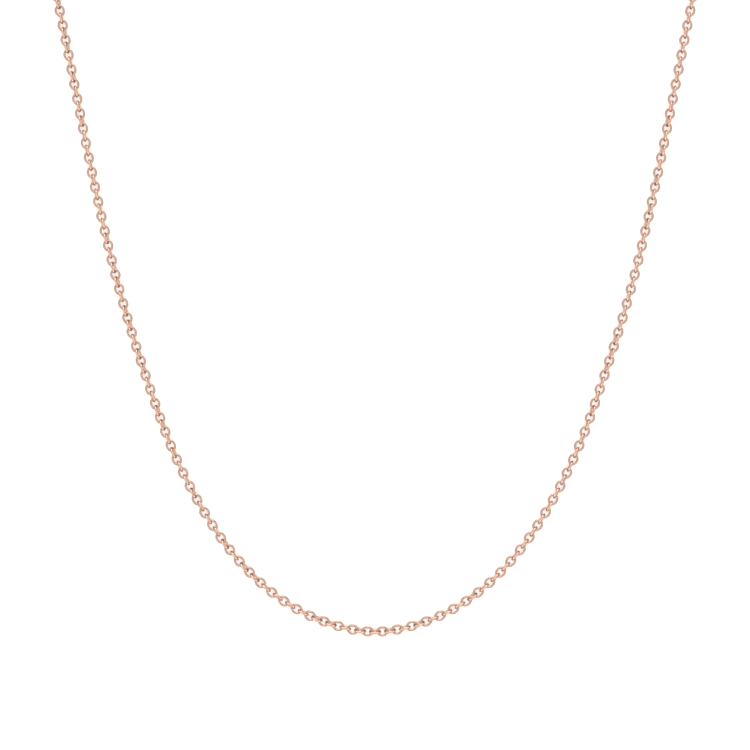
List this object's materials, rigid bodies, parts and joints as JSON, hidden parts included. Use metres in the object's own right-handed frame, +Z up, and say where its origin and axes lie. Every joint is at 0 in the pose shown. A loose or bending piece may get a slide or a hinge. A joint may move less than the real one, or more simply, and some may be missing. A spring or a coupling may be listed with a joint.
{
  "type": "chain necklace",
  "caption": "Plain round-wire cable chain necklace in rose-gold metal, laid flat in a loop with its lobster-claw clasp undone beside the ring it hooks into.",
  "frame": {"origin": "on the table, under the middle of the loop's box", "axes": "+Z up off the table, +Y from the lowest point of the chain towards the clasp, +X towards the strand that carries the end ring"},
  "size_m": [0.114, 0.18, 0.0018],
  "materials": {
    "rose_gold": "drawn round wire, polished bright rose gold",
    "cast_rose_gold": "cast and polished rose gold, slightly softer shine",
    "spring_steel": "bare spring wire inside the clasp"
  },
  "bodies": {
    "chain_centre": {"chain_centre": "rose_gold"},
    "chain_right_01": {"chain_right_01": "rose_gold"},
    "chain_right_02": {"chain_right_02": "rose_gold"},
    "chain_right_03": {"chain_right_03": "rose_gold"},
    "chain_right_04": {"chain_right_04": "rose_gold"},
    "chain_right_05": {"chain_right_05": "rose_gold"},
    "chain_right_06": {"chain_right_06": "rose_gold"},
    "chain_right_07": {"chain_right_07": "rose_gold"},
    "chain_right_08": {"chain_right_08": "rose_gold"},
    "chain_right_09": {"chain_right_09": "rose_gold"},
    "chain_right_10": {"chain_right_10": "rose_gold"},
    "chain_right_11": {"chain_right_11": "rose_gold"},
    "chain_right_12": {"chain_right_12": "rose_gold"},
    "chain_right_13": {"chain_right_13": "rose_gold"},
    "chain_right_14": {"chain_right_14": "rose_gold"},
    "chain_right_15": {"chain_right_15": "rose_gold"},
    "chain_right_16": {"chain_right_16": "rose_gold"},
    "chain_right_17": {"chain_right_17": "rose_gold"},
    "chain_right_18": {"chain_right_18": "rose_gold"},
    "chain_right_19": {"chain_right_19": "rose_gold"},
    "chain_right_20": {"chain_right_20": "rose_gold"},
    "chain_right_21": {"chain_right_21": "rose_gold"},
    "chain_right_22": {"chain_right_22": "rose_gold"},
    "chain_right_23": {"chain_right_23": "rose_gold"},
    "chain_right_24": {"chain_right_24": "rose_gold"},
    "chain_right_25": {"chain_right_25": "rose_gold"},
    "chain_right_26": {"chain_right_26": "rose_gold"},
    "chain_left_01": {"chain_left_01": "rose_gold"},
    "chain_left_02": {"chain_left_02": "rose_gold"},
    "chain_left_03": {"chain_left_03": "rose_gold"},
    "chain_left_04": {"chain_left_04": "rose_gold"},
    "chain_left_05": {"chain_left_05": "rose_gold"},
    "chain_left_06": {"chain_left_06": "rose_gold"},
    "chain_left_07": {"chain_left_07": "rose_gold"},
    "chain_left_08": {"chain_left_08": "rose_gold"},
    "chain_left_09": {"chain_left_09": "rose_gold"},
    "chain_left_10": {"chain_left_10": "rose_gold"},
    "chain_left_11": {"chain_left_11": "rose_gold"},
    "chain_left_12": {"chain_left_12": "rose_gold"},
    "chain_left_13": {"chain_left_13": "rose_gold"},
    "chain_left_14": {"chain_left_14": "rose_gold"},
    "chain_left_15": {"chain_left_15": "rose_gold"},
    "chain_left_16": {"chain_left_16": "rose_gold"},
    "chain_left_17": {"chain_left_17": "rose_gold"},
    "chain_left_18": {"chain_left_18": "rose_gold"},
    "chain_left_19": {"chain_left_19": "rose_gold"},
    "chain_left_20": {"chain_left_20": "rose_gold"},
    "chain_left_21": {"chain_left_21": "rose_gold"},
    "chain_left_22": {"chain_left_22": "rose_gold"},
    "chain_left_23": {"chain_left_23": "rose_gold"},
    "chain_left_24": {"chain_left_24": "rose_gold"},
    "chain_left_25": {"chain_left_25": "rose_gold"},
    "chain_left_26": {"chain_left_26": "rose_gold"},
    "clasp_jump_ring": {"clasp_jump_ring": "rose_gold"},
    "clasp": {"clasp_body": "cast_rose_gold", "clasp_pin": "rose_gold", "clasp_spring": "spring_steel"},
    "clasp_lever": {"clasp_lever": "cast_rose_gold"},
    "end_ring": {"end_ring": "rose_gold"}
  },
  "joints": [
    {"name": "lever_pivot", "type": "hinge", "parent": "clasp", "child": "clasp_lever", "pos_m": [-0.00654, 0.08757, 0.0009], "axis": [0, 0, -1], "range_deg": [0, 25], "stiffness_Nm_per_rad": 0.003, "springref_deg": -20.05},
    {"name": "jump_ring_swing", "type": "hinge", "parent": "chain_left_26", "child": "clasp_jump_ring", "pos_m": [-0.0117, 0.08586, 0.0009], "axis": [0, 0, 1], "range_deg": [0, 50]},
    {"name": "clasp_lift", "type": "hinge", "parent": "clasp_jump_ring", "child": "clasp", "pos_m": [-0.01001, 0.08624, 0.0009], "axis": [0.2157, -0.9765, 0], "range_deg": [0, 60]},
    {"name": "end_ring_lift", "type": "hinge", "parent": "chain_right_26", "child": "end_ring", "pos_m": [0.00538, 0.08684, 0.0009], "axis": [0.1014, 0.9948, 0], "range_deg": [0, 60]},
    {"name": "chain_right_01_turn", "type": "hinge", "parent": "chain_centre", "child": "chain_right_01", "pos_m": [0.00432, -0.08863, 0.0009], "axis": [0, 0, -1], "range_deg": [0, 60]},
    {"name": "chain_left_01_turn", "type": "hinge", "parent": "chain_centre", "child": "chain_left_01", "pos_m": [-0.00432, -0.08863, 0.0009], "axis": [0, 0, 1], "range_deg": [0, 60]},
    {"name": "chain_right_02_lift", "type": "hinge", "parent": "chain_right_01", "child": "chain_right_02", "pos_m": [0.01205, -0.08596, 0.0009], "axis": [0.4339, -0.9009, 0], "range_deg": [0, 45]},
    {"name": "chain_left_02_lift", "type": "hinge", "parent": "chain_left_01", "child": "chain_left_02", "pos_m": [-0.01205, -0.08596, 0.0009], "axis": [0.4339, 0.9009, 0], "range_deg": [0, 45]},
    {"name": "chain_right_03_turn", "type": "hinge", "parent": "chain_right_02", "child": "chain_right_03", "pos_m": [0.01957, -0.08087, 0.0009], "axis": [0, 0, -1], "range_deg": [0, 60]},
    {"name": "chain_left_03_turn", "type": "hinge", "parent": "chain_left_02", "child": "chain_left_03", "pos_m": [-0.01827, -0.08197, 0.0009], "axis": [0, 0, 1], "range_deg": [0, 60]},
    {"name": "chain_right_04_lift", "type": "hinge", "parent": "chain_right_03", "child": "chain_right_04", "pos_m": [0.02468, -0.07553, 0.0009], "axis": [-0.7776, 0.6288, 0], "range_deg": [-45, 0]},
    {"name": "chain_left_04_lift", "type": "hinge", "parent": "chain_left_03", "child": "chain_left_04", "pos_m": [-0.0241, -0.07622, 0.0009], "axis": [0.7609, 0.6489, 0], "range_deg": [0, 45]},
    {"name": "chain_right_05_turn", "type": "hinge", "parent": "chain_right_04", "child": "chain_right_05", "pos_m": [0.02981, -0.06803, 0.0009], "axis": [0, 0, 1], "range_deg": [-60, 0]},
    {"name": "chain_left_05_turn", "type": "hinge", "parent": "chain_left_04", "child": "chain_left_05", "pos_m": [-0.02935, -0.0688, 0.0009], "axis": [0, 0, -1], "range_deg": [-60, 0]},
    {"name": "chain_right_06_lift", "type": "hinge", "parent": "chain_right_05", "child": "chain_right_06", "pos_m": [0.03366, -0.06079, 0.0009], "axis": [0.9028, -0.4301, 0], "range_deg": [0, 45]},
    {"name": "chain_left_06_lift", "type": "hinge", "parent": "chain_left_05", "child": "chain_left_06", "pos_m": [-0.03292, -0.06232, 0.0009], "axis": [-0.8967, -0.4427, 0], "range_deg": [-45, 0]},
    {"name": "chain_right_07_turn", "type": "hinge", "parent": "chain_right_06", "child": "chain_right_07", "pos_m": [0.03715, -0.05239, 0.0009], "axis": [0, 0, 1], "range_deg": [-60, 0]},
    {"name": "chain_left_07_turn", "type": "hinge", "parent": "chain_left_06", "child": "chain_left_07", "pos_m": [-0.03624, -0.05482, 0.0009], "axis": [0, 0, -1], "range_deg": [-60, 0]},
    {"name": "chain_right_08_lift", "type": "hinge", "parent": "chain_right_07", "child": "chain_right_08", "pos_m": [0.03955, -0.04539, 0.0009], "axis": [-0.9486, 0.3164, 0], "range_deg": [-45, 0]},
    {"name": "chain_left_08_lift", "type": "hinge", "parent": "chain_left_07", "child": "chain_left_08", "pos_m": [-0.03927, -0.04624, 0.0009], "axis": [-0.9477, -0.3193, 0], "range_deg": [-45, 0]},
    {"name": "chain_right_09_turn", "type": "hinge", "parent": "chain_right_08", "child": "chain_right_09", "pos_m": [0.04234, -0.03673, 0.0009], "axis": [0, 0, -1], "range_deg": [0, 60]},
    {"name": "chain_left_09_turn", "type": "hinge", "parent": "chain_left_08", "child": "chain_left_09", "pos_m": [-0.04156, -0.03921, 0.0009], "axis": [0, 0, 1], "range_deg": [0, 60]},
    {"name": "chain_right_10_lift", "type": "hinge", "parent": "chain_right_09", "child": "chain_right_10", "pos_m": [0.0446, -0.02885, 0.0009], "axis": [0.9656, -0.26, 0], "range_deg": [0, 45]},
    {"name": "chain_left_10_lift", "type": "hinge", "parent": "chain_left_09", "child": "chain_left_10", "pos_m": [-0.04391, -0.03135, 0.0009], "axis": [0.9627, 0.2707, 0], "range_deg": [0, 45]},
    {"name": "chain_right_11_turn", "type": "hinge", "parent": "chain_right_10", "child": "chain_right_11", "pos_m": [0.04679, -0.02002, 0.0009], "axis": [0, 0, -1], "range_deg": [0, 60]},
    {"name": "chain_left_11_turn", "type": "hinge", "parent": "chain_left_10", "child": "chain_left_11", "pos_m": [-0.0462, -0.02255, 0.0009], "axis": [0, 0, 1], "range_deg": [0, 60]},
    {"name": "chain_right_12_lift", "type": "hinge", "parent": "chain_right_11", "child": "chain_right_12", "pos_m": [0.0484, -0.01279, 0.0009], "axis": [-0.9775, 0.2108, 0], "range_deg": [-45, 0]},
    {"name": "chain_left_12_lift", "type": "hinge", "parent": "chain_left_11", "child": "chain_left_12", "pos_m": [-0.04785, -0.01533, 0.0009], "axis": [0.9765, 0.2155, 0], "range_deg": [0, 45]},
    {"name": "chain_right_13_turn", "type": "hinge", "parent": "chain_right_12", "child": "chain_right_13", "pos_m": [0.05025, -0.00388, 0.0009], "axis": [0, 0, 1], "range_deg": [-60, 30]},
    {"name": "chain_left_13_turn", "type": "hinge", "parent": "chain_left_12", "child": "chain_left_13", "pos_m": [-0.04956, -0.00731, 0.0009], "axis": [0, 0, -1], "range_deg": [-60, 30]},
    {"name": "chain_right_14_lift", "type": "hinge", "parent": "chain_right_13", "child": "chain_right_14", "pos_m": [0.05182, 0.00417, 0.0009], "axis": [0.9813, -0.1926, 0], "range_deg": [0, 45]},
    {"name": "chain_left_14_lift", "type": "hinge", "parent": "chain_left_13", "child": "chain_left_14", "pos_m": [-0.05132, 0.00161, 0.0009], "axis": [-0.9814, -0.1918, 0], "range_deg": [-45, 0]},
    {"name": "chain_right_15_turn", "type": "hinge", "parent": "chain_right_14", "child": "chain_right_15", "pos_m": [0.05359, 0.01309, 0.0009], "axis": [0, 0, 1], "range_deg": [-60, 30]},
    {"name": "chain_left_15_turn", "type": "hinge", "parent": "chain_left_14", "child": "chain_left_15", "pos_m": [-0.05275, 0.00887, 0.0009], "axis": [0, 0, -1], "range_deg": [-60, 30]},
    {"name": "chain_right_16_lift", "type": "hinge", "parent": "chain_right_15", "child": "chain_right_16", "pos_m": [0.05505, 0.02035, 0.0009], "axis": [-0.9825, 0.1863, 0], "range_deg": [-45, 0]},
    {"name": "chain_left_16_lift", "type": "hinge", "parent": "chain_left_15", "child": "chain_left_16", "pos_m": [-0.05436, 0.01692, 0.0009], "axis": [-0.9805, -0.1966, 0], "range_deg": [-45, 0]},
    {"name": "chain_right_17_turn", "type": "hinge", "parent": "chain_right_16", "child": "chain_right_17", "pos_m": [0.05604, 0.02938, 0.0009], "axis": [0, 0, -1], "range_deg": [-30, 60]},
    {"name": "chain_left_17_turn", "type": "hinge", "parent": "chain_left_16", "child": "chain_left_17", "pos_m": [-0.05566, 0.0242, 0.0009], "axis": [0, 0, 1], "range_deg": [-30, 60]},
    {"name": "chain_right_18_lift", "type": "hinge", "parent": "chain_right_17", "child": "chain_right_18", "pos_m": [0.05568, 0.03757, 0.0009], "axis": [0.9935, 0.1136, 0], "range_deg": [0, 45]},
    {"name": "chain_left_18_lift", "type": "hinge", "parent": "chain_left_17", "child": "chain_left_18", "pos_m": [-0.05602, 0.03328, 0.0009], "axis": [0.999, -0.0443, 0], "range_deg": [0, 45]},
    {"name": "chain_right_19_turn", "type": "hinge", "parent": "chain_right_18", "child": "chain_right_19", "pos_m": [0.05389, 0.04648, 0.0009], "axis": [0, 0, -1], "range_deg": [-30, 60]},
    {"name": "chain_left_19_turn", "type": "hinge", "parent": "chain_left_18", "child": "chain_left_19", "pos_m": [-0.05509, 0.04142, 0.0009], "axis": [0, 0, 1], "range_deg": [-30, 60]},
    {"name": "chain_right_20_lift", "type": "hinge", "parent": "chain_right_19", "child": "chain_right_20", "pos_m": [0.05139, 0.05344, 0.0009], "axis": [-0.9151, -0.4032, 0], "range_deg": [-45, 0]},
    {"name": "chain_left_20_lift", "type": "hinge", "parent": "chain_left_19", "child": "chain_left_20", "pos_m": [-0.05324, 0.04858, 0.0009], "axis": [0.9485, -0.3168, 0], "range_deg": [0, 45]},
    {"name": "chain_right_21_turn", "type": "hinge", "parent": "chain_right_20", "child": "chain_right_21", "pos_m": [0.04709, 0.06145, 0.0009], "axis": [0, 0, 1], "range_deg": [-60, 30]},
    {"name": "chain_left_21_turn", "type": "hinge", "parent": "chain_left_20", "child": "chain_left_21", "pos_m": [-0.0497, 0.05695, 0.0009], "axis": [0, 0, -1], "range_deg": [-60, 30]},
    {"name": "chain_right_22_lift", "type": "hinge", "parent": "chain_right_21", "child": "chain_right_22", "pos_m": [0.04215, 0.06799, 0.0009], "axis": [0.7543, 0.6565, 0], "range_deg": [0, 45]},
    {"name": "chain_left_22_lift", "type": "hinge", "parent": "chain_left_21", "child": "chain_left_22", "pos_m": [-0.04539, 0.06392, 0.0009], "axis": [-0.8118, 0.5839, 0], "range_deg": [-45, 0]},
    {"name": "chain_right_23_turn", "type": "hinge", "parent": "chain_right_22", "child": "chain_right_23", "pos_m": [0.03562, 0.07431, 0.0009], "axis": [0, 0, 1], "range_deg": [-60, 30]},
    {"name": "chain_left_23_turn", "type": "hinge", "parent": "chain_left_22", "child": "chain_left_23", "pos_m": [-0.04067, 0.06961, 0.0009], "axis": [0, 0, -1], "range_deg": [-60, 30]},
    {"name": "chain_right_24_lift", "type": "hinge", "parent": "chain_right_23", "child": "chain_right_24", "pos_m": [0.02962, 0.07863, 0.0009], "axis": [-0.5256, -0.8508, 0], "range_deg": [-45, 0]},
    {"name": "chain_left_24_lift", "type": "hinge", "parent": "chain_left_23", "child": "chain_left_24", "pos_m": [-0.0339, 0.07568, 0.0009], "axis": [-0.602, 0.7985, 0], "range_deg": [-45, 0]},
    {"name": "chain_right_25_turn", "type": "hinge", "parent": "chain_right_24", "child": "chain_right_25", "pos_m": [0.02154, 0.08279, 0.0009], "axis": [0, 0, -1], "range_deg": [-30, 60]},
    {"name": "chain_left_25_turn", "type": "hinge", "parent": "chain_left_24", "child": "chain_left_25", "pos_m": [-0.02703, 0.08014, 0.0009], "axis": [0, 0, 1], "range_deg": [-30, 60]},
    {"name": "chain_right_26_lift", "type": "hinge", "parent": "chain_right_25", "child": "chain_right_26", "pos_m": [0.01376, 0.08538, 0.0009], "axis": [0.2495, 0.9684, 0], "range_deg": [0, 45]},
    {"name": "chain_left_26_lift", "type": "hinge", "parent": "chain_left_25", "child": "chain_left_26", "pos_m": [-0.02033, 0.08328, 0.0009], "axis": [0.3598, -0.933, 0], "range_deg": [0, 45]}
  ]
}
